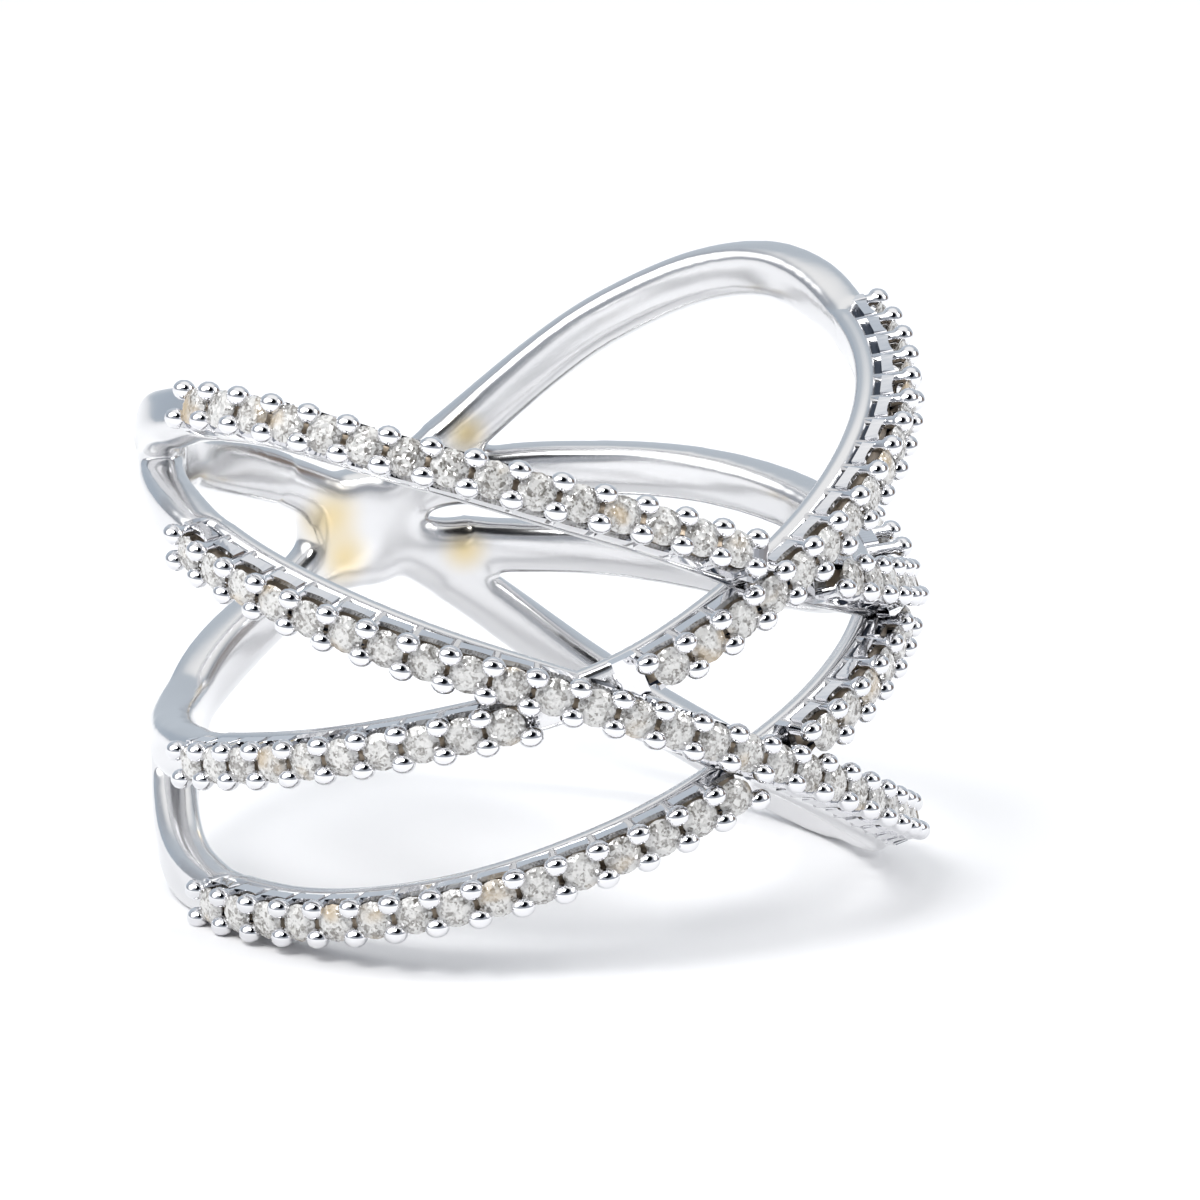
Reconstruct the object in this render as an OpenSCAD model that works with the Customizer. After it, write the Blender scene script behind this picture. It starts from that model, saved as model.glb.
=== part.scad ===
// Wide pave ring of four crossing strands, lying on its side.
// Each strand is a rail with a row of stones at the front and a plain band at the back.

/* [Ring] */
// Inner diameter, where the finger goes
inner_d = 17.3; // [16:0.1:19]
// Thickness of the plain band
band_t = 1.2; // [1:0.05:1.4]
// Width of the plain band
band_w = 1.4; // [1.2:0.05:1.6]
// Height of the rail's side walls, under the stones
rail_t = 1.1; // [0.9:0.05:1.1]
// Width of the rail under the stones
rail_w = 1.15; // [1:0.05:1.3]
// Bevel along the edges of rails and bands
edge = 0.25; // [0.15:0.05:0.3]
// Depth of the groove between the side walls
groove_t = 0.3; // [0.25:0.05:0.4]
// Half the width of the groove
groove_w = 0.35; // [0.3:0.05:0.4]

/* [Stones] */
// Diameter of a stone
stone_d = 0.95; // [0.85:0.05:0.95]
// Distance from stone to stone along a strand
stone_pitch = 1.09; // [1.08:0.01:1.12]
// Height of the stones' widest line above the finger
girdle_t = 1.37; // [1.3:0.01:1.45]
// Width of the table, as a share of the stone's diameter
table_share = 0.57; // [0.5:0.01:0.65]

/* [Prongs] */
// Distance between the two prongs of a pair
prong_gap = 0.8; // [0.78:0.01:0.86]
// Diameter of a prong
prong_d = 0.33; // [0.28:0.01:0.34]
// Height of the prong tips above the finger
prong_t = 1.8; // [1.65:0.05:1.9]

/* [Hidden] */

metal_colour = "silver";
stone_colour = "white";

inner_r = inner_d / 2;
girdle_r = inner_r + girdle_t;

// Columns of the strand table, and the names of the four strands in them
A = 1;
B = 2;
C = 3;
D = 4;

// Height of each strand over the ring's middle plane, by the angle round the finger.
// Angle 0 is the front and 90 the right side. At 165 all four cross in the flat hub,
// and from 180 to -150 strand b is one band with a, and d one with c.
station_step = 30;
strand_rows = [
    // angle,    a,     b,     c,     d
    [-180,    1.70,  1.70, -1.45, -1.45],
    [-150,    3.30,  3.30, -3.25, -3.25],
    [-120,    5.65,  3.20, -3.35, -6.15],
    [ -90,    6.65,  2.20, -2.50, -6.45],
    [ -60,    5.95,  0.85, -1.35, -5.70],
    [ -30,    4.40, -0.70,  0.00, -4.20],
    [   0,    2.35, -2.95,  2.35, -2.30],
    [  30,    0.80, -5.35,  4.65, -0.65],
    [  60,   -0.40, -6.80,  6.35,  0.50],
    [  90,   -1.15, -6.85,  7.35,  1.20],
    [ 120,   -0.95, -4.95,  5.60,  1.35],
    [ 150,   -0.55, -1.40,  1.95,  0.90]
];

// Angle of the first pair of prongs of each strand, how many stones would follow it if no
// other strand passed over, and how far the strand's face is turned up at its left and right end
stone_rows = [
    // strand, first angle, stones, left turn, right turn
    [A, -100.5, 28, 27, 15],
    [B, -103.8, 29, -10, 20],
    [C, -105.2, 29, -5, 10],
    [D, -101.4, 28, -3, 6]
];
// Strands that cross at the front, as the lower and the upper one
passes = [[A, C], [C, B], [D, B], [D, A]];
// Least distance of a prong, a stone and a side wall from the middle of a strand above them
prong_cover = 0.7;
stone_cover = 1;
wall_cover = 1.1;

// The stretch where a strand is a rail and not a plain band
rail_from = -112;
rail_to = 75;
rail_fade = 6;
// Past the rail's ends the turn of its face is lost over this angle
turn_fade = 30;

// Angle from one cross-section of a strand to the next
section_step = 7.5;
// Strands b and d are swept from one end of the shared bands to the other
sweep_from = -150;
sweep_to = 172.5;

// How the ring leans when it lies on the low bows of strands b and d, and what then
// brings the middle of its base to the origin
rest_lean = -1.58;
rest_turn = -2.57;
rest_shift = [0.321, 0.377, 7.593];

// Height of a strand at any angle, smooth through its table rows
function row(i) = strand_rows[(i + 2 * len(strand_rows)) % len(strand_rows)];
function height(s, angle) =
    let (u = (angle + 180) / station_step, i = floor(u), t = u - i,
         p0 = row(i - 1)[s], p1 = row(i)[s], p2 = row(i + 1)[s], p3 = row(i + 2)[s])
    p1 + t / 2 * (p2 - p0 + t * (2 * p0 - 5 * p1 + 4 * p2 - p3
        + t * (3 * (p1 - p2) + p3 - p0)));

// Climb of a strand, in degrees, and its length for each degree round the finger
function climb(s, angle) = atan2(height(s, angle + 0.5) - height(s, angle - 0.5), girdle_r * PI / 180);
function run_of_degree(s, angle) = girdle_r * PI / 180 / cos(climb(s, angle));

// How far the face of a strand is turned up, in degrees
function face_turn(s, angle) =
    let (ends = stone_rows[s - 1], share = (angle - rail_from) / (rail_to - rail_from),
         kept = min((angle - rail_from) / turn_fade + 1, (rail_to - angle) / turn_fade + 1))
    mix(ends[3], ends[4], min(1, max(0, share))) * min(1, max(0, kept));

// A point at a distance across the strand and a height above the finger, given as the radius
// that it has where the face isn't turned. A turned rail stands on its inner edge.
function across(s, angle, side, r) =
    let (lean = climb(s, angle), turn = face_turn(s, angle),
         d = side * cos(turn) + (r - girdle_r) * sin(turn),
         edge_lift = rail_w / 2 * abs(sin(turn)) - side * sin(turn),
         r2 = inner_r + (r - inner_r) * cos(turn) + edge_lift,
         a = angle - d * sin(lean) / r2 * 180 / PI)
    [r2 * sin(a), -r2 * cos(a), height(s, angle) + d * cos(lean)];

// Angles of the prong pairs of a strand, one stone pitch apart
function prong_angles(row) =
    [for (i = 0, a = row[1]; i <= row[2]; i = i + 1, a = a + stone_pitch / run_of_degree(row[0], a)) a];

// Distance from a point of a strand to the middle of the nearest strand that passes over it
function clearance(s, p) =
    let (angle = atan2(p[0], -p[1]))
    min([for (pass = passes)
        pass[0] == s ? abs(p[2] - height(pass[1], angle)) * cos(climb(pass[1], angle)) : inner_r]);

// How much of a rail the strand is at an angle, from 0 for a plain band to 1
function fade(x) = min(1, max(0, x / rail_fade));
function rail_share(angle) = fade(angle - rail_from) * fade(rail_to - angle);

function mix(a, b, share) = a + (b - a) * share;

// Cross-section of a strand, as pairs of side and radius
function section(s, angle) =
    let (q = rail_share(angle),
         covered = q > 0 && clearance(s, across(s, angle, 0, girdle_r)) < wall_cover,
         w = mix(band_w, rail_w, q) / 2,
         floor_r = inner_r + mix(band_t, rail_t - groove_t, q),
         r = covered ? floor_r : inner_r + mix(band_t, rail_t, q),
         g = mix(w - edge, groove_w, q))
    [[-w, inner_r + edge], [-w, r - edge], [-g, r], [0, floor_r], [g, r],
     [w, r - edge], [w, inner_r + edge], [w - edge, inner_r], [edge - w, inner_r]];

function wrapped(angle) = angle >= 180 ? angle - 360 : angle;

// One strand swept from one angle to another, closed on itself after a full turn
module strand(s, from, to) {
    turns = to - from >= 360;
    n = (to - from) / section_step;
    corners = 9;
    rings = turns ? n : n + 1;
    points = [for (i = [0:rings - 1])
        let (angle = wrapped(from + i * section_step))
        for (p = section(s, angle)) across(s, angle, p[0], p[1])];
    sides = [for (i = [0:n - 1], k = [0:corners - 1], half = [0, 1])
        let (i2 = (i + 1) % rings, k2 = (k + 1) % corners,
             a = i * corners + k, b = i * corners + k2, c = i2 * corners + k2, d = i2 * corners + k)
        half == 0 ? [a, b, c] : [a, c, d]];
    ends = turns ? [] : [[for (k = [corners - 1:-1:0]) k],
                         [for (k = [0:corners - 1]) (rings - 1) * corners + k]];
    polyhedron(points, concat(sides, ends), convexity = 10);
}

// Stands its children on a strand, with Z pointing out of the strand's face and its zero at
// the ring's axis
module on_strand(s, angle, side = 0) {
    p = across(s, angle, side, girdle_r);
    a = atan2(p[0], -p[1]);
    translate(p) rotate([90, 0, a]) rotate([0, 0, climb(s, angle)]) rotate([-face_turn(s, angle), 0, 0])
        translate([0, 0, -girdle_r]) children();
}

// A prong with a peaked tip, rooted in the rail
module prong() {
    root = inner_r + rail_t - edge - prong_d;
    shoulder = inner_r + prong_t - prong_d / 2;
    hull() {
        translate([0, 0, root]) cylinder(h = shoulder - root, d = prong_d, $fn = 5);
        translate([0, 0, shoulder]) cylinder(h = prong_d / 2, d1 = prong_d, d2 = 0, $fn = 5);
    }
}

// A round stone with a table, eight crown facets and eight pavilion facets
module stone() {
    crown_h = 0.15 * stone_d;
    pavilion_h = 0.42 * stone_d;
    corners = [for (k = [0:7]) 45 * k];
    table_r = table_share * stone_d / 2;
    points = concat(
        [for (k = corners) [table_r * cos(k), table_r * sin(k), girdle_r + crown_h]],
        [for (k = corners) [stone_d / 2 * cos(k), stone_d / 2 * sin(k), girdle_r]],
        [[0, 0, girdle_r - pavilion_h]]);
    polyhedron(points, concat(
        [[for (k = [7:-1:0]) k]],
        [for (k = [0:7]) [k, (k + 1) % 8, 8 + (k + 1) % 8, 8 + k]],
        [for (k = [0:7]) [8 + k, 8 + (k + 1) % 8, 16]]));
}

// Places the whole ring as it rests
module at_rest() {
    translate(rest_shift) rotate([rest_lean, rest_turn, 0]) children();
}

module ring_frame() {
    color(metal_colour) at_rest() union() {
        for (s = [A, C]) strand(s, -180, 180);
        for (s = [B, D]) strand(s, sweep_from, sweep_to);
        for (row = stone_rows, a = prong_angles(row), side = [-prong_gap / 2, prong_gap / 2])
            if (clearance(row[0], across(row[0], a, side, girdle_r)) > prong_cover)
                on_strand(row[0], a, side) prong();
    }
}

// The stones of one strand, each halfway between two pairs of prongs
module stone_row(row) {
    pairs = prong_angles(row);
    color(stone_colour) at_rest() for (i = [1:row[2]]) {
        a = (pairs[i - 1] + pairs[i]) / 2;
        if (clearance(row[0], across(row[0], a, 0, girdle_r)) > stone_cover)
            on_strand(row[0], a) stone();
    }
}

module stones_a() { stone_row(stone_rows[A - 1]); }
module stones_b() { stone_row(stone_rows[B - 1]); }
module stones_c() { stone_row(stone_rows[C - 1]); }
module stones_d() { stone_row(stone_rows[D - 1]); }

ring_frame();
stones_a();
stones_b();
stones_c();
stones_d();
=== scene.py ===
"""Pave ring of four crossing strands: polished bands, grooved rails, bead prongs and cut stones."""
import math

import bmesh
import bpy
from mathutils import Matrix, Vector


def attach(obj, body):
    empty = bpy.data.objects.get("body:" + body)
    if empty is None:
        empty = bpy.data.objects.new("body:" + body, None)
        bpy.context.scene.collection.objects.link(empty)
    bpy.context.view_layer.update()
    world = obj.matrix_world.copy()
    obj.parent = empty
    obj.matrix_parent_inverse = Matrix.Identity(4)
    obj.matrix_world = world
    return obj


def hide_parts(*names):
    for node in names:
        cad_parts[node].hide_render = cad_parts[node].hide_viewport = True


bl_info = {
    "name": "Pave Ring",
    "version": (1, 0, 0),
    "blender": (4, 5, 0),
    "location": "View3D > Sidebar > Ring",
    "description": "Builds a pave ring of four crossing strands round its frame",
    "category": "Add Mesh",
}

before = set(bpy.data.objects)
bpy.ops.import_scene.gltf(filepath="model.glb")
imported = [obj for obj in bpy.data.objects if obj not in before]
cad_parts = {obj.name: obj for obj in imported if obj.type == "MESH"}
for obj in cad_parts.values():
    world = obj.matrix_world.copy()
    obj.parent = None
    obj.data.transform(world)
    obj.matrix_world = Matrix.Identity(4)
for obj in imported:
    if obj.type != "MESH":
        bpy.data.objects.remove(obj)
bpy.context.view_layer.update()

MM = 0.001
A, B, C, D = 1, 2, 3, 4
STRANDS = {A: "a", B: "b", C: "c", D: "d"}

# Height of each strand over the ring's middle plane in mm, by the angle round the finger: 0 is the
# front and 90 the right side
STATION_STEP = 30
STRAND_ROWS = [
    # angle, a, b, c, d
    (-180, 1.70, 1.70, -1.45, -1.45),
    (-150, 3.30, 3.30, -3.25, -3.25),
    (-120, 5.65, 3.20, -3.35, -6.15),
    (-90, 6.65, 2.20, -2.50, -6.45),
    (-60, 5.95, 0.85, -1.35, -5.70),
    (-30, 4.40, -0.70, 0.00, -4.20),
    (0, 2.35, -2.95, 2.35, -2.30),
    (30, 0.80, -5.35, 4.65, -0.65),
    (60, -0.40, -6.80, 6.35, 0.50),
    (90, -1.15, -6.85, 7.35, 1.20),
    (120, -0.95, -4.95, 5.60, 1.35),
    (150, -0.55, -1.40, 1.95, 0.90),
]
# Angle of the first prongs of each strand, and how many stones would follow them
STONE_ROWS = {A: (-100.5, 28), B: (-103.8, 29), C: (-105.2, 29), D: (-101.4, 28)}
# How far the face of each strand is turned up at the left and the right end of its rail
FACE_TURNS = {A: (27, 15), B: (-10, 20), C: (-5, 10), D: (-3, 6)}
# The angles of those ends, and over how many degrees past them the turn is lost
RAIL_FROM = -112
RAIL_TO = 75
TURN_FADE = 30
# Strands that cross at the front, as the lower and the upper one
PASSES = ((A, C), (C, B), (D, B), (D, A))
# Least distance in mm of a prong and a stone from the middle of a strand above them
PRONG_COVER = 0.86
STONE_COVER = 1.0

# How the ring lies: it leans, and then its base is brought to the origin
REST_LEAN = math.radians(-1.58)
REST_TURN = math.radians(-2.57)
REST_SHIFT = Vector((0.321, 0.377, 7.593))
AT_REST = (
    Matrix.Scale(MM, 4)
    @ Matrix.Translation(REST_SHIFT)
    @ Matrix.Rotation(REST_TURN, 4, "Y")
    @ Matrix.Rotation(REST_LEAN, 4, "X")
)

# Steps in a rounded edge
ROUND_STEPS = 4
# A square edge is rounded by this in mm, in one step
SQUARE = 0.02

# Sockets of a Mix node that mixes colours: its share, its two colours and the mixed one
MIX_SHARE, MIX_A, MIX_B, MIXED = 0, 6, 7, 2

# The camera in the ring's own frame: its direction and turn, its distance in mm from the ring's
# centre, the image's scale there, and the pixel where the centre shows
CAMERA_AZIMUTH = math.radians(-44.365)
CAMERA_ELEVATION = math.radians(13.956)
CAMERA_ROLL = math.radians(-1.203)
CAMERA_DISTANCE = 162.7
PIXELS_PER_MM = 38.302
IMAGE_SIZE = 1200
CENTRE_PIXEL = (523.97, 595.44)
# The sensor's width in mm, and the nearest distance in metres that is drawn
SENSOR_WIDTH = 36
CLIP_START = 0.005


def linear(hex_colour):
    """A colour given as sRGB hex, as the linear values that the shaders take."""
    parts = [int(hex_colour[i:i + 2], 16) / 255 for i in (0, 2, 4)]
    return [c / 12.92 if c <= 0.04045 else ((c + 0.055) / 1.055) ** 2.4 for c in parts] + [1.0]


def millimetres(name, description, default):
    """A length of the ring that a user can change."""
    return bpy.props.FloatProperty(name=name, description=description + ", in mm", default=default)


def colour(name, description, default):
    """A colour of the ring that a user can change, given as sRGB hex."""
    return bpy.props.FloatVectorProperty(name=name, description=description, subtype="COLOR",
                                         size=4, min=0, max=1, default=linear(default))


class RingSizes(bpy.types.PropertyGroup):
    inner_r: millimetres("Inner radius", "Radius of the finger hole", 8.65)
    band_t: millimetres("Band thickness", "Thickness of the plain bands", 1.2)
    band_w: millimetres("Band width", "Width of the plain bands", 1.4)
    rail_t: millimetres("Rail thickness", "Thickness of the smooth rail under the stones", 0.56)
    rail_w: millimetres("Rail width", "Width of a strand with stones", 1.16)
    stone_d: millimetres("Stone diameter", "Diameter of a stone", 0.98)
    stone_pitch: millimetres("Stone pitch", "Distance from stone to stone", 1.09)
    girdle_t: millimetres("Girdle height", "Height of the girdles above the finger", 1.37)
    prong_gap: millimetres("Prong gap", "Distance between the prongs of a pair", 0.74)
    bead_r: millimetres("Bead radius", "Radius of a prong's bead", 0.28)
    bead_t: millimetres("Bead height", "Height of the beads' middles above the finger", 1.45)


class RingColours(bpy.types.PropertyGroup):
    silver: colour("Silver", "Colour of the polished rails and bands", "dededf")
    burnished: colour("Burnished silver", "Colour of the beads and bright cuts", "e4e4e6")
    solder: colour("Solder", "Golden tint of the solder at the hub", "d9c8a0")
    # The seat colour is dull unpolished metal with the shade of the recess painted in: darker and
    # browner than the rails
    seat_and_shade: colour("Seat", "Colour of the unpolished metal under the stones", "b3a594")
    # The groove colour is painted shade: a dark colour for the shadow between the rail and the walls
    groove: colour("Groove", "Colour of the dark metal in the groove over the rail", "3c434f")
    # The stone and stone shade colours are painted reflections: the bright and grey glitter cells of the
    # stones
    stone: colour("Stone", "Colour of the clear stones where they shine", "f6f5f2")
    stone_shade: colour("Stone shade", "Colour of the stones' greyer cells", "85817b")
    stone_warm: colour("Stone warmth", "Tint of the warmer stones", "d8c3a2")
    floor: colour("Floor", "Colour of the floor", "fbfbfc")


def sizes():
    return bpy.context.scene.ring_sizes


def colours():
    return bpy.context.scene.ring_colours


# The strands' course

def row(i):
    """A row of the table, which goes on round the ring."""
    return STRAND_ROWS[i % len(STRAND_ROWS)]


def height(s, angle):
    """Height of a strand at any angle, smooth through its table rows."""
    u = (angle + 180) / STATION_STEP
    i = math.floor(u)
    t = u - i
    p0, p1, p2, p3 = (row(i + k)[s] for k in (-1, 0, 1, 2))
    cubic = 3 * (p1 - p2) + p3 - p0
    return p1 + t / 2 * (p2 - p0 + t * (2 * p0 - 5 * p1 + 4 * p2 - p3 + t * cubic))


def girdle_r():
    """Radius at which the stones' girdles stand."""
    return sizes().inner_r + sizes().girdle_t


def climb(s, angle):
    """How steeply a strand rises round the finger, in radians."""
    rise = height(s, angle + 0.5) - height(s, angle - 0.5)
    return math.atan2(rise, girdle_r() * math.radians(1))


def face_turn(s, angle):
    """How far the face of a strand is turned up, in radians."""
    angle = (angle + 180) % 360 - 180
    left, right = FACE_TURNS[s]
    share = min(1, max(0, (angle - RAIL_FROM) / (RAIL_TO - RAIL_FROM)))
    fade = min((angle - RAIL_FROM) / TURN_FADE, (RAIL_TO - angle) / TURN_FADE) + 1
    return math.radians((left + (right - left) * share) * min(1, max(0, fade)))


def across(s, angle, side, r):
    """The point at a distance across a strand and a height above the finger, given as the radius
    that it has where the face isn't turned. A turned rail stands on its inner edge."""
    lean = climb(s, angle)
    turn = face_turn(s, angle)
    d = side * math.cos(turn) + (r - girdle_r()) * math.sin(turn)
    inner = sizes().inner_r
    edge_lift = sizes().rail_w / 2 * abs(math.sin(turn)) - side * math.sin(turn)
    r2 = inner + (r - inner) * math.cos(turn) + edge_lift
    a = math.radians(angle) - d * math.sin(lean) / r2
    return Vector((r2 * math.sin(a), -r2 * math.cos(a), height(s, angle) + d * math.cos(lean)))


def angle_of(point):
    """Angle of a point round the finger, in degrees."""
    return math.degrees(math.atan2(point[0], -point[1]))


def prong_angles(s):
    """Angles of the prong pairs of a strand, one stone pitch apart."""
    angle, count = STONE_ROWS[s]
    found = [angle]
    for _ in range(count):
        angle += math.degrees(sizes().stone_pitch / girdle_r() * math.cos(climb(s, angle)))
        found.append(angle)
    return found


def clearance(s, point):
    """Distance from a point of a strand to the middle of the nearest strand that passes over it."""
    angle = angle_of(point)
    near = [abs(point[2] - height(over, angle)) * math.cos(climb(over, angle))
            for under, over in PASSES if under == s]
    return min(near, default=sizes().inner_r)


def on_strand(s, angle, side=0.0):
    """Stands a shape on a strand: X along it, Y across it and Z out of its face, from the axis."""
    p = across(s, angle, side, girdle_r())
    a = math.radians(angle_of(p))
    return (
        Matrix.Translation(p)
        @ Matrix.Rotation(a, 4, "Z")
        @ Matrix.Rotation(math.radians(90), 4, "X")
        @ Matrix.Rotation(climb(s, angle), 4, "Z")
        @ Matrix.Rotation(-face_turn(s, angle), 4, "X")
        @ Matrix.Translation((0, 0, -girdle_r()))
    )


def stone_places(s):
    """Angle of each stone that no other strand covers."""
    pairs = prong_angles(s)
    middles = [(a + b) / 2 for a, b in zip(pairs, pairs[1:])]
    return [a for a in middles if clearance(s, across(s, a, 0, girdle_r())) > STONE_COVER]


def row_stretches(s):
    """The stretches of a strand with a stone in each bay, as pairs of angles."""
    pairs = prong_angles(s)
    stones = stone_places(s)
    stretches = []
    for before, after in zip(pairs, pairs[1:]):
        if (before + after) / 2 in stones:
            if stretches and stretches[-1][1] == before:
                stretches[-1][1] = after
            else:
                stretches.append([before, after])
    return stretches


# Meshes

def finish_piece(bm, name, material, smooth=True, replaces=()):
    """Makes a mesh in ring millimetres a piece of the object, in place and riding on it."""
    bmesh.ops.transform(bm, matrix=AT_REST, verts=bm.verts)
    mesh = bpy.data.meshes.new(name)
    bm.to_mesh(mesh)
    bm.free()
    mesh.polygons.foreach_set("use_smooth", [smooth] * len(mesh.polygons))
    mesh.materials.append(material)
    piece = bpy.data.objects.new(name, mesh)
    bpy.context.scene.collection.objects.link(piece)
    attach(piece, "root")
    if replaces:
        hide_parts(*replaces)


def add_copies(bm, unit, places):
    """Adds a copy of the unit's mesh to bm at each place."""
    mesh = bpy.data.meshes.new("unit")
    unit.to_mesh(mesh)
    for place in places:
        before = len(bm.verts)
        bm.from_mesh(mesh)
        bm.verts.ensure_lookup_table()
        bmesh.ops.transform(bm, matrix=place, verts=bm.verts[before:])
    bpy.data.meshes.remove(mesh)


def rounded_section(bm, half_w, low_r, high_r, edge, segments):
    """A face with rounded corners in the XZ plane, radius along X and side along Z."""
    corners = [(low_r, -half_w), (high_r, -half_w), (high_r, half_w), (low_r, half_w)]
    verts = [bm.verts.new((r, 0, side)) for r, side in corners]
    bm.faces.new(verts)
    bmesh.ops.bevel(bm, geom=verts, affect="VERTICES", offset=edge, segments=segments,
                    profile=0.5, material=-1)
    return list(bm.faces)


def swept_strand(s, start, stop, step, shape):
    """One strand swept from an angle to another. shape gives half its width, its lowest and highest
    radius, its edges' rounding and the steps of that, and the function that takes the strand, angle,
    side and radius to a place."""
    half_w, low_r, high_r, edge, segments, at = shape
    bm = bmesh.new()
    section = rounded_section(bm, half_w, low_r, high_r, edge, segments)
    count = max(2, round((stop - start) / step))
    bmesh.ops.rotate(bm, verts=bm.verts, cent=(0, 0, 0),
                     matrix=Matrix.Rotation(math.radians(start), 3, "Z"))
    bmesh.ops.spin(bm, geom=section + list(bm.edges) + list(bm.verts), cent=(0, 0, 0),
                   axis=(0, 0, 1), dvec=(0, 0, 0), angle=math.radians(stop - start), steps=count,
                   use_merge=False, use_normal_flip=False, use_duplicate=False)
    middle = (start + stop) / 2
    for v in bm.verts:
        r = math.hypot(v.co.x, v.co.y)
        angle = math.degrees(math.atan2(v.co.y, v.co.x))
        angle += 360 * round((middle - angle) / 360)
        v.co = at(s, angle, v.co.z, r)
    bmesh.ops.recalc_face_normals(bm, faces=bm.faces)
    return bm


# Materials

def add_node(tree, kind, inputs=(), **settings):
    """Adds a node with its settings; an input is a value, or an output to link."""
    node = tree.nodes.new(kind)
    for key, value in settings.items():
        setattr(node, key, value)
    for key, value in dict(inputs).items():
        if isinstance(value, bpy.types.NodeSocket):
            tree.links.new(value, node.inputs[key])
        else:
            node.inputs[key].default_value = value
    return node


def new_material(name, inputs):
    """A material and its tree and shader, with the shader's inputs set."""
    material = bpy.data.materials.new(name)
    material.use_nodes = True
    tree = material.node_tree
    shader = tree.nodes["Principled BSDF"]
    for key, value in inputs.items():
        shader.inputs[key].default_value = value
    return material, tree, shader


# Where solder shows as a golden tint on the hub's inner face: place and reach in ring mm
SOLDER_SPOTS = (
    ((1.1, 8.57, 0.55), 1.3),
    ((1.5, 8.5, -0.6), 1.1),
    ((4.8, 7.2, -0.75), 0.9),
    ((4.9, 7.13, 2.5), 0.8),
)


def polished_silver(solder=False):
    """Sterling silver, cast and polished: bright mirror with the faint waviness of hand polishing,
    and where it is soldered a golden tint."""
    material, tree, shader = new_material(
        "soldered_silver" if solder else "polished_sterling_silver",
        {"Base Color": colours().silver, "Metallic": 1.0, "Roughness": 0.18})
    place = add_node(tree, "ShaderNodeTexCoord").outputs["Object"]
    wave_length = 1.6 * MM
    wave = add_node(tree, "ShaderNodeTexNoise", {
        "Vector": place, "Scale": 1 / wave_length, "Detail": 2.0})
    bump = add_node(tree, "ShaderNodeBump", {
        "Height": wave.outputs["Fac"], "Strength": 0.25, "Distance": 0.02 * MM})
    tree.links.new(bump.outputs["Normal"], shader.inputs["Normal"])
    tint = colours().silver
    for spot, reach in SOLDER_SPOTS if solder else ():
        away = add_node(tree, "ShaderNodeVectorMath", {0: place, 1: AT_REST @ Vector(spot)},
                        operation="DISTANCE")
        share = add_node(tree, "ShaderNodeMapRange", {
            "Value": away.outputs["Value"], "From Min": reach * MM, "From Max": 0},
            interpolation_type="SMOOTHSTEP")
        mix = add_node(tree, "ShaderNodeMix", {
            MIX_SHARE: share.outputs["Result"], MIX_A: tint, MIX_B: colours().solder}, data_type="RGBA")
        tint = mix.outputs[MIXED]
        tree.links.new(tint, shader.inputs["Base Color"])
    return material


def bright_silver():
    """Silver of the beads and bright cuts: mirror polish from the burnisher."""
    return new_material("burnished_sterling_silver", {
        "Base Color": colours().burnished, "Metallic": 1.0, "Roughness": 0.05})[0]


def seat_silver_and_shade():
    """Metal at the bottom of the stones' seats: dull cast skin, its brownish grey partly the metal's own
    and partly painted shade of the recess.
    """
    material, tree, shader = new_material("cast_seat_with_painted_shade", {
        "Base Color": colours().seat_and_shade, "Metallic": 1.0, "Roughness": 0.45})
    place = add_node(tree, "ShaderNodeTexCoord").outputs["Object"]
    grain_size = 0.15 * MM
    grain = add_node(tree, "ShaderNodeTexNoise", {
        "Vector": place, "Scale": 1 / grain_size, "Detail": 3.0})
    bump = add_node(tree, "ShaderNodeBump", {
        "Height": grain.outputs["Fac"], "Strength": 0.6, "Distance": 0.03 * MM})
    tree.links.new(bump.outputs["Normal"], shader.inputs["Normal"])
    return material


def painted_groove_shade():
    """Painted shade for the groove between the rail and the walls: a dark, almost black metal whose
    colour stands for the shade there."""
    return new_material("groove_painted_shade", {
        "Base Color": colours().groove, "Metallic": 1.0, "Roughness": 0.4})[0]


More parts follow.
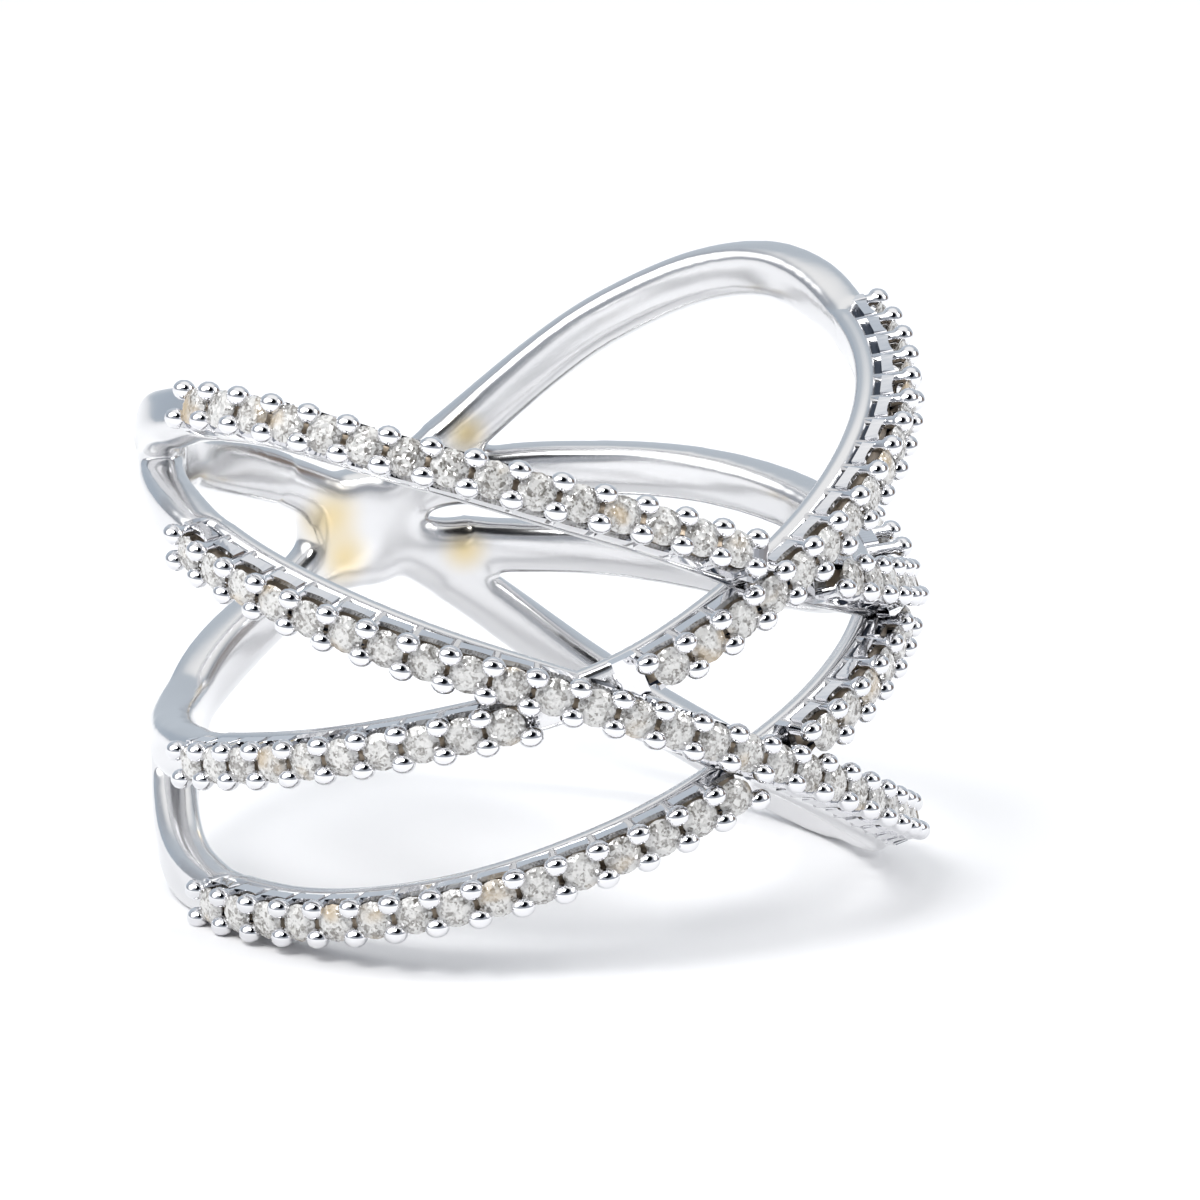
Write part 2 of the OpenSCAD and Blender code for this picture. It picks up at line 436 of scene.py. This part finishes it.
def clear_stone():
    """Cut stone: polished facets, with the glitter of its inner reflections painted into its colour as
    bright and grey splinters, some stones a little warmer than others."""
    material, tree, shader = new_material("faceted_clear_stone", {
        "Roughness": 0.05, "IOR": 2.2, "Transmission Weight": 0.3})
    place = add_node(tree, "ShaderNodeTexCoord").outputs["Object"]
    cell_size = 0.17 * MM
    splinter_size = 0.06 * MM
    warm_patch = 1.4 * MM
    cells = add_node(tree, "ShaderNodeTexVoronoi", {"Vector": place, "Scale": 1 / cell_size})
    splinters = add_node(tree, "ShaderNodeTexVoronoi", {"Vector": place, "Scale": 1 / splinter_size})
    glitter = add_node(tree, "ShaderNodeMath", {
        0: cells.outputs["Color"], 1: splinters.outputs["Color"]}, operation="ADD")
    shine = add_node(tree, "ShaderNodeMapRange", {
        "Value": glitter.outputs["Value"], "From Min": 0.48, "From Max": 1.28},
        interpolation_type="SMOOTHSTEP")
    # Painted reflections: cells of bright and grey colour stand for the glitter of the stones' facets
    painted_reflections = add_node(tree, "ShaderNodeMix", {
        MIX_SHARE: shine.outputs["Result"], MIX_A: colours().stone_shade, MIX_B: colours().stone},
        data_type="RGBA")
    bump = add_node(tree, "ShaderNodeBump", {
        "Height": cells.outputs["Distance"], "Strength": 0.5, "Distance": splinter_size})
    tree.links.new(bump.outputs["Normal"], shader.inputs["Normal"])
    drift = add_node(tree, "ShaderNodeTexNoise", {"Vector": place, "Scale": 1 / warm_patch})
    warmth = add_node(tree, "ShaderNodeMapRange", {
        "Value": drift.outputs["Fac"], "From Min": 0.56, "From Max": 0.72},
        interpolation_type="SMOOTHSTEP")
    tinted = add_node(tree, "ShaderNodeMix", {
        MIX_SHARE: warmth.outputs["Result"], MIX_A: painted_reflections.outputs[MIXED], MIX_B: colours().stone_warm},
        data_type="RGBA")
    tree.links.new(tinted.outputs[MIXED], shader.inputs["Base Color"])
    return material


def matte_floor():
    """Matte card under the ring."""
    return new_material("matte_card", {"Base Color": colours().floor, "Roughness": 0.8})[0]


# Pieces

class RING_OT_shank(bpy.types.Operator):
    """The plain bands of the back half, soldered into a flat cross"""
    bl_idname = "ring.shank"
    bl_label = "Shank"

    # Angles: how far a band starts into its row, the length of its tail, how much of that doesn't
    # sink yet, the length of the band's taper, and the steps
    into_row = 0.9
    tail = 5.0
    tail_level = 1.0
    fade = 12.0
    step = 1.0
    # Thickness of a band's end and of the tail, and the share that the tail loses to its tip
    end_t = 1.12
    tail_t = 0.56
    tail_sink = 0.16
    rounding = 0.3
    # Discs of solder that round the corners between bands: angle, height and radius
    webs = (
        (165, 0.7, 1.0),
        (167.5, -0.7, 0.95),
        (162.5, -0.7, 0.95),
        (171.5, 0.2, 0.7),
        (146.5, 1.75, 0.5),
        (144.5, -1.45, 0.5),
        (227, 4.05, 0.5),
        (225, -4.15, 0.5),
    )
    web_t = 1.16
    web_sides = 32
    voxel = 0.085
    smoothing = 26
    # The hub is polished more: its middle, how far round it, and the passes added there
    hub = Vector((2.39, 8.94, 0.2))
    hub_reach = 3.2
    hub_smoothing = 44
    # What the smoothing has taken off is put on again
    swell = 0.025
    # The gap between bands a and d is let in towards the hub: its angle, how many degrees to
    # each side, and the share that it takes of the half of the band beside it
    gap_at = 154
    gap_reach = 7
    gap_share = 0.3

    def ends(self, s):
        """The band starts at the last prongs of the row and stops at the first."""
        pairs = prong_angles(s)
        return pairs[-1] - self.into_row, pairs[0] + 360 + self.into_row

    def tapered(self, s, angle, side, r):
        """At its ends the band narrows and thins to the row that it goes on as, and a thin tail
        of it sinks into the rail."""
        size = sizes()
        start, stop = self.ends(s)
        past = min(angle - start, stop - angle)
        share = min(1, max(0, past / self.fade))
        share = share * share * (3 - 2 * share)
        wide = size.rail_w / size.band_w
        thick = self.end_t / size.band_t
        side *= wide + (1 - wide) * share
        if (s == A and side > 0) or (s == D and side < 0):
            side *= 1 - self.gap_share * max(0, 1 - ((angle - self.gap_at) / self.gap_reach) ** 2)
        r = (r - size.inner_r) * (thick + (1 - thick) * share)
        if past < 0:
            sink = 1 - self.tail_sink * max(0, -past - self.tail_level) / self.tail
            side *= sink
            middle = self.tail_t / 2
            r = middle + (r * self.tail_t / self.end_t - middle) * sink
        return across(s, angle, side, size.inner_r + r)

    def execute(self, context):
        size = sizes()
        shape = (size.band_w / 2, size.inner_r, size.inner_r + size.band_t,
                 self.rounding, ROUND_STEPS, self.tapered)
        joined = bmesh.new()
        for s in STRANDS:
            start, stop = self.ends(s)
            band = swept_strand(s, start - self.tail, stop + self.tail, self.step, shape)
            add_copies(joined, band, [Matrix.Identity(4)])
            band.free()
        middle_r = size.inner_r + size.band_t / 2
        for angle, z, radius in self.webs:
            place = (
                Matrix.Rotation(math.radians(angle), 4, "Z")
                @ Matrix.Translation((0, -middle_r, z))
                @ Matrix.Rotation(math.radians(90), 4, "X")
            )
            bmesh.ops.create_cone(joined, cap_ends=True, segments=self.web_sides, radius1=radius,
                                  radius2=radius, depth=self.web_t, matrix=place)
        bm = remeshed(joined, self.voxel)
        hub_verts = [v for v in bm.verts if (v.co - self.hub).length < self.hub_reach]
        for verts, passes in ((bm.verts, self.smoothing), (hub_verts, self.hub_smoothing)):
            for _ in range(passes):
                bmesh.ops.smooth_vert(bm, verts=verts, factor=0.5,
                                      use_axis_x=True, use_axis_y=True, use_axis_z=True)
        bm.normal_update()
        for v in bm.verts:
            v.co += v.normal * self.swell
        finish_piece(bm, "shank", polished_silver(solder=True),
                     replaces=("ring_frame",))
        return {"FINISHED"}


def remeshed(bm, voxel):
    """The union of the closed shapes in bm, as one even mesh."""
    mesh = bpy.data.meshes.new("remesh")
    bm.to_mesh(mesh)
    bm.free()
    piece = bpy.data.objects.new("remesh", mesh)
    bpy.context.scene.collection.objects.link(piece)
    modifier = piece.modifiers.new("Remesh", "REMESH")
    modifier.mode = "VOXEL"
    modifier.voxel_size = voxel
    result = bmesh.new()
    result.from_object(piece, bpy.context.evaluated_depsgraph_get())
    bpy.data.objects.remove(piece)
    bpy.data.meshes.remove(mesh)
    return result


class RING_OT_rails(bpy.types.Operator):
    """The smooth rails under the stones, a dark strip of painted shade in the groove over them, and the
    seats' floor
    """
    bl_idname = "ring.rails"
    bl_label = "Rails"

    # Angles: how far a rail goes on into the shank, how long its thinner end is, and the steps
    into_shank = 1.0
    thinned_for = 5.0
    rail_step = 1.0
    groove_step = 3.0
    # The share that the rail's end is thinner by
    thinned = 0.12
    rounding = 0.24
    # The half width and height of the dark strip of painted shade in the groove, and how far it and the
    # floor stand in what is under them
    groove_side = 0.42
    groove_top = 0.76
    sunk = 0.1
    # How much narrower than the groove the seats' floor is on each side, and how much higher
    floor_inset = 0.08
    floor_rise = 0.05

    def execute(self, context):
        size = sizes()
        inner = size.inner_r
        top = inner + size.rail_t
        groove_top = inner + self.groove_top
        rail = (size.rail_w / 2, inner, top, self.rounding, ROUND_STEPS, self.thinned_in_shank)
        groove = (self.groove_side, top - self.sunk, groove_top, SQUARE, 1, across)
        floor = (self.groove_side - self.floor_inset, groove_top - self.sunk,
                 groove_top + self.floor_rise, SQUARE, 1, across)
        self.strips("rails", polished_silver(), self.whole_rows, self.rail_step, rail)
        # A dark strip in the groove over each rail is painted shade
        self.strips("groove", painted_groove_shade(), row_stretches, self.groove_step, groove)
        # The seats' floor carries painted shade in its darker, browner colour
        self.strips("seat_floors", seat_silver_and_shade(), row_stretches, self.groove_step, floor)
        return {"FINISHED"}

    def whole_rows(self, s):
        """The stretch from the first to the last prongs of a strand, and on into the shank."""
        pairs = prong_angles(s)
        return [(pairs[0] - self.into_shank, pairs[-1] + self.into_shank)]

    def strips(self, name, material, stretches, step, shape):
        """Strips of one shape along the stretches of all strands, as one piece."""
        bm = bmesh.new()
        for s in STRANDS:
            for start, stop in stretches(s):
                strip = swept_strand(s, start, stop, step, shape)
                add_copies(bm, strip, [Matrix.Identity(4)])
                strip.free()
        finish_piece(bm, name, material)

    def thinned_in_shank(self, s, angle, side, r):
        """The rail's ends are a little thinner, so that they come out of the shank smoothly."""
        pairs = prong_angles(s)
        past = min(angle - pairs[0], pairs[-1] - angle) + self.into_shank
        scale = 1 - self.thinned * max(0, 1 - past / self.thinned_for)
        middle = sizes().inner_r + sizes().rail_t / 2
        return across(s, angle, side * scale, middle + (r - middle) * scale)


class RING_OT_walls(bpy.types.Operator):
    """The side walls, cut bright beside each stone, and the metal at the ends of the rows"""
    bl_idname = "ring.walls"
    bl_label = "Walls"

    # A wall's foot and top over the finger, the dip in its top, and the cuts that shape that
    low = 0.72
    high = 1.06
    dip = 0.06
    dip_cuts = 3
    # Its inner side, its outer side at the top, and how far the foot stands in from the rail's side
    inner_side = 0.4
    outer_top = 0.53
    inset = 0.01
    # The gap from wall to wall, where the prongs stand
    notch = 0.26
    # The blocks at the ends of the rows, which stand a little in the rail
    sunk = 0.25
    end_length = 0.3
    end_high = 1.1
    end_bevel = 0.05
    # The slices of the plates beside a strand above: their length, height, distance from each other
    # in degrees, and least distance from the middle of that strand
    plate_length = 0.2
    plate_high = 0.86
    plate_step = 0.9
    plate_cover = 0.62

    def block(self, length, width, low, high):
        """A block that stands on a strand, as long and wide as given."""
        bm = bmesh.new()
        place = Matrix.Translation((0, 0, sizes().inner_r + (low + high) / 2))
        size = Matrix.Diagonal((length, width, high - low, 1))
        bmesh.ops.create_cube(bm, size=1.0, matrix=place @ size)
        return bm

    def bay(self, outer):
        """The wall beside one stone: its outer side leans in at the top, which is cut down between
        the prongs."""
        length = sizes().stone_pitch - self.notch
        middle = (outer + self.inner_side) / 2
        bm = self.block(length, outer - self.inner_side, self.low, self.high)
        along = [e for e in bm.edges if abs(e.verts[0].co.x - e.verts[1].co.x) > length / 2]
        bmesh.ops.subdivide_edges(bm, edges=along, cuts=self.dip_cuts)
        half_way = sizes().inner_r + (self.low + self.high) / 2
        for v in bm.verts:
            if v.co.z > half_way:
                v.co.y = min(v.co.y, self.outer_top - middle)
                v.co.z -= self.dip * (1 - (2 * v.co.x / length) ** 2)
        return bm, middle

    def execute(self, context):
        outer = sizes().rail_w / 2 - self.inset
        unit, middle = self.bay(outer)
        half_turn = Matrix.Rotation(math.pi, 4, "Z")
        foot = self.low - self.sunk
        end = self.block(self.end_length, 2 * outer, foot, self.end_high)
        bmesh.ops.bevel(end, geom=list(end.edges), affect="EDGES", offset=self.end_bevel, segments=2,
                        profile=0.5, material=-1)
        plate = self.block(self.plate_length, 2 * outer, foot, self.plate_high)
        walls = bmesh.new()
        for s in STRANDS:
            places = []
            for angle in stone_places(s):
                places += [on_strand(s, angle, middle), on_strand(s, angle, -middle) @ half_turn]
            add_copies(walls, unit, places)
            pairs = prong_angles(s)
            add_copies(walls, end, [on_strand(s, pairs[0]), on_strand(s, pairs[-1])])
            add_copies(walls, plate, [on_strand(s, angle) for angle in self.plate_places(s)])
        for part in (unit, end, plate):
            part.free()
        finish_piece(walls, "bright_cut_walls", bright_silver(), smooth=False)
        return {"FINISHED"}

    def plate_places(self, s):
        """Angles of the slices of the plate between the last stone and a strand above."""
        stretches = row_stretches(s)
        places = []
        for (_, angle), (until, _) in zip(stretches, stretches[1:]):
            while angle < until:
                if clearance(s, across(s, angle, 0, girdle_r())) > self.plate_cover:
                    places.append(angle)
                angle += self.plate_step
        return places


class RING_OT_prongs(bpy.types.Operator):
    """The posts that rise from the rails, each with a burnished bead"""
    bl_idname = "ring.prongs"
    bl_label = "Prongs"

    post_r = 0.17
    # Height over the finger where a post starts, in the rail
    root = 0.45
    sides = 14
    bead_steps = 7
    # The burnisher spreads a bead along the strand
    spread = (1.16, 0.95, 1.0)
    # Corners nearer to each other than this are one
    merged = 0.0005

    def execute(self, context):
        size = sizes()
        inner = size.inner_r
        bead = inner + size.bead_t
        unit = bmesh.new()
        outline = [(0, inner + self.root), (self.post_r, inner + self.root)]
        start = math.asin(self.post_r / size.bead_r)
        for k in range(self.bead_steps + 1):
            a = math.pi - start - (math.pi - start) * k / self.bead_steps
            outline.append((size.bead_r * math.sin(a), bead + size.bead_r * math.cos(a)))
        verts = [unit.verts.new((r, 0, z)) for r, z in outline]
        edges = [unit.edges.new(pair) for pair in zip(verts, verts[1:])]
        bmesh.ops.spin(unit, geom=verts + edges, cent=(0, 0, 0), axis=(0, 0, 1), dvec=(0, 0, 0),
                       angle=math.tau, steps=self.sides, use_merge=True,
                       use_normal_flip=False, use_duplicate=False)
        bmesh.ops.remove_doubles(unit, verts=unit.verts, dist=self.merged)
        bmesh.ops.scale(unit, vec=self.spread, verts=unit.verts)
        bmesh.ops.recalc_face_normals(unit, faces=unit.faces)
        for s in STRANDS:
            prongs = bmesh.new()
            places = []
            for angle in prong_angles(s):
                for side in (-size.prong_gap / 2, size.prong_gap / 2):
                    if clearance(s, across(s, angle, side, girdle_r())) > PRONG_COVER:
                        places.append(on_strand(s, angle, side))
            add_copies(prongs, unit, places)
            finish_piece(prongs, "bead_prongs_" + STRANDS[s], bright_silver())
        unit.free()
        return {"FINISHED"}


class RING_OT_stones(bpy.types.Operator):
    """The rows of brilliant cut stones"""
    bl_idname = "ring.stones"
    bl_label = "Stones"

    def execute(self, context):
        size = sizes()
        unit = brilliant(size.stone_d, girdle_r())
        material = clear_stone()
        for s in STRANDS:
            stones = bmesh.new()
            add_copies(stones, unit, [on_strand(s, angle) for angle in stone_places(s)])
            finish_piece(stones, "stones_row_" + STRANDS[s], material, smooth=False,
                         replaces=("stones_" + STRANDS[s],))
        unit.free()
        return {"FINISHED"}


def brilliant(diameter, girdle):
    """A round brilliant: rings of corners at the heights of its facets, and the hull of them."""
    bm = bmesh.new()
    # Table, crown, girdle and pavilion: radius and height as shares of the diameter, corners, and
    # their turn in steps
    rings = (
        (0.285, 0.150, 8, 0.5),
        (0.395, 0.100, 8, 0.0),
        (0.500, 0.010, 16, 0.0),
        (0.500, -0.015, 16, 0.0),
        (0.120, -0.340, 8, 0.5),
    )
    culet = -0.43
    for r, z, count, turn in rings:
        bmesh.ops.create_circle(
            bm, segments=count, radius=r * diameter,
            matrix=Matrix.Translation((0, 0, girdle + z * diameter))
            @ Matrix.Rotation(math.tau * turn / count, 4, "Z"))
    bm.verts.new((0, 0, girdle + culet * diameter))
    bmesh.ops.convex_hull(bm, input=bm.verts)
    bmesh.ops.dissolve_limit(bm, angle_limit=math.radians(1), verts=bm.verts, edges=bm.edges)
    bmesh.ops.recalc_face_normals(bm, faces=bm.faces)
    return bm


class RING_OT_stage(bpy.types.Operator):
    """The floor, the light and the camera"""
    bl_idname = "ring.stage"
    bl_label = "Stage"

    floor_r = 0.6
    floor_sides = 96
    # Lamps: name, place and side in metres, and power in watts
    lamps = (
        ("key_light", (-0.20, -0.05, 0.26), 0.12, 0.5),
        ("fill_light", (0.16, -0.20, 0.22), 0.10, 0.3),
    )
    # Soft light all round: azimuth from the front, elevation, full and faded angle, colour, strength
    patches = (
        (136, 12, 36, 70, "d3dce6", 0.9),
        (-44, 90, 26, 50, "ffffff", 1.1),
        (-120, 34, 20, 30, "ffffff", 2.2),
        (30, 30, 13, 22, "ffffff", 1.8),
        (175, 6, 8, 26, "ccd8e6", 0.8),
        (66, 14, 6, 20, "86766c", 1.0),
        (-42, 46, 22, 36, "0d1016", 1.0),
    )
    # The light between the patches, as linear values
    between = (0.38, 0.405, 0.45, 1.0)

    def execute(self, context):
        scene = context.scene
        bm = bmesh.new()
        bmesh.ops.create_circle(bm, cap_ends=True, segments=self.floor_sides, radius=self.floor_r)
        mesh = bpy.data.meshes.new("floor")
        bm.to_mesh(mesh)
        bm.free()
        mesh.materials.append(matte_floor())
        floor = bpy.data.objects.new("floor", mesh)
        scene.collection.objects.link(floor)
        self.sky(scene)
        for lamp in self.lamps:
            self.lamp(scene, *lamp)
        self.camera(scene)
        scene.view_settings.view_transform = "Standard"
        return {"FINISHED"}

    def sky(self, scene):
        """A studio's soft light, as patches in the world that fade into each other."""
        world = bpy.data.worlds.new("studio")
        world.use_nodes = True
        scene.world = world
        tree = world.node_tree
        way = add_node(tree, "ShaderNodeTexCoord").outputs["Generated"]
        sky_light = self.between
        for azimuth, elevation, full, faded, tint, strength in self.patches:
            a, e = math.radians(azimuth), math.radians(elevation)
            towards = (math.sin(a) * math.cos(e), -math.cos(a) * math.cos(e), math.sin(e))
            near = add_node(tree, "ShaderNodeVectorMath", {0: way, 1: towards}, operation="DOT_PRODUCT")
            share = add_node(tree, "ShaderNodeMapRange", {
                "Value": near.outputs["Value"], "From Min": math.cos(math.radians(faded)),
                "From Max": math.cos(math.radians(full))}, interpolation_type="SMOOTHSTEP")
            light = [c * strength for c in linear(tint)[:3]] + [1.0]
            mix = add_node(tree, "ShaderNodeMix", {
                MIX_SHARE: share.outputs["Result"], MIX_A: sky_light, MIX_B: light}, data_type="RGBA")
            sky_light = mix.outputs[MIXED]
        tree.links.new(sky_light, tree.nodes["Background"].inputs["Color"])

    def lamp(self, scene, name, place, side, power):
        """A square lamp that points at the ring."""
        data = bpy.data.lights.new(name, "AREA")
        data.size = side
        data.energy = power
        lamp = bpy.data.objects.new(name, data)
        lamp.location = place
        lamp.rotation_euler = (Vector(place) - REST_SHIFT * MM).to_track_quat("Z", "Y").to_euler()
        scene.collection.objects.link(lamp)

    def camera(self, scene):
        """The camera, where it puts the ring's centre at its pixel and at its scale."""
        level = math.cos(CAMERA_ELEVATION)
        back = Vector((math.sin(CAMERA_AZIMUTH) * level, -math.cos(CAMERA_AZIMUTH) * level,
                       math.sin(CAMERA_ELEVATION)))
        right = Vector((math.cos(CAMERA_AZIMUTH), math.sin(CAMERA_AZIMUTH), 0))
        turn = Matrix.Rotation(CAMERA_ROLL, 3, back)
        right = turn @ right
        up = back.cross(right)
        eye = back * CAMERA_DISTANCE
        middle = IMAGE_SIZE / 2
        aim = (right * (middle - CENTRE_PIXEL[0]) - up * (middle - CENTRE_PIXEL[1])) / PIXELS_PER_MM
        back = (eye - aim).normalized()
        right = up.cross(back).normalized()
        up = back.cross(right)
        turned = Matrix((right, up, back)).transposed()
        rest_turn = AT_REST.to_3x3().normalized()
        data = bpy.data.cameras.new("camera")
        data.sensor_width = SENSOR_WIDTH
        data.lens = SENSOR_WIDTH * PIXELS_PER_MM * CAMERA_DISTANCE / IMAGE_SIZE
        data.clip_start = CLIP_START
        camera = bpy.data.objects.new("camera", data)
        camera.matrix_world = Matrix.Translation(AT_REST @ eye) @ (rest_turn @ turned).to_4x4()
        scene.collection.objects.link(camera)
        scene.camera = camera


class RING_PT_panel(bpy.types.Panel):
    """Buttons for the ring's pieces"""
    bl_label = "Pave Ring"
    bl_idname = "RING_PT_panel"
    bl_space_type = "VIEW_3D"
    bl_region_type = "UI"
    bl_category = "Ring"

    def draw(self, context):
        for operator in OPERATORS:
            self.layout.operator(operator.bl_idname)
        for group in (context.scene.ring_sizes, context.scene.ring_colours):
            for key in group.bl_rna.properties.keys():
                if key not in ("rna_type", "name"):
                    self.layout.prop(group, key)


OPERATORS = (
    RING_OT_shank, RING_OT_rails, RING_OT_walls, RING_OT_prongs, RING_OT_stones, RING_OT_stage)
CLASSES = (RingSizes, RingColours) + OPERATORS + (RING_PT_panel,)


def register():
    for item in CLASSES:
        bpy.utils.register_class(item)
    bpy.types.Scene.ring_sizes = bpy.props.PointerProperty(type=RingSizes)
    bpy.types.Scene.ring_colours = bpy.props.PointerProperty(type=RingColours)


def unregister():
    del bpy.types.Scene.ring_colours
    del bpy.types.Scene.ring_sizes
    for item in reversed(CLASSES):
        bpy.utils.unregister_class(item)


def main():
    register()
    bpy.ops.ring.shank()
    bpy.ops.ring.rails()
    bpy.ops.ring.walls()
    bpy.ops.ring.prongs()
    bpy.ops.ring.stones()
    bpy.ops.ring.stage()


if __name__ == "__main__":
    main()
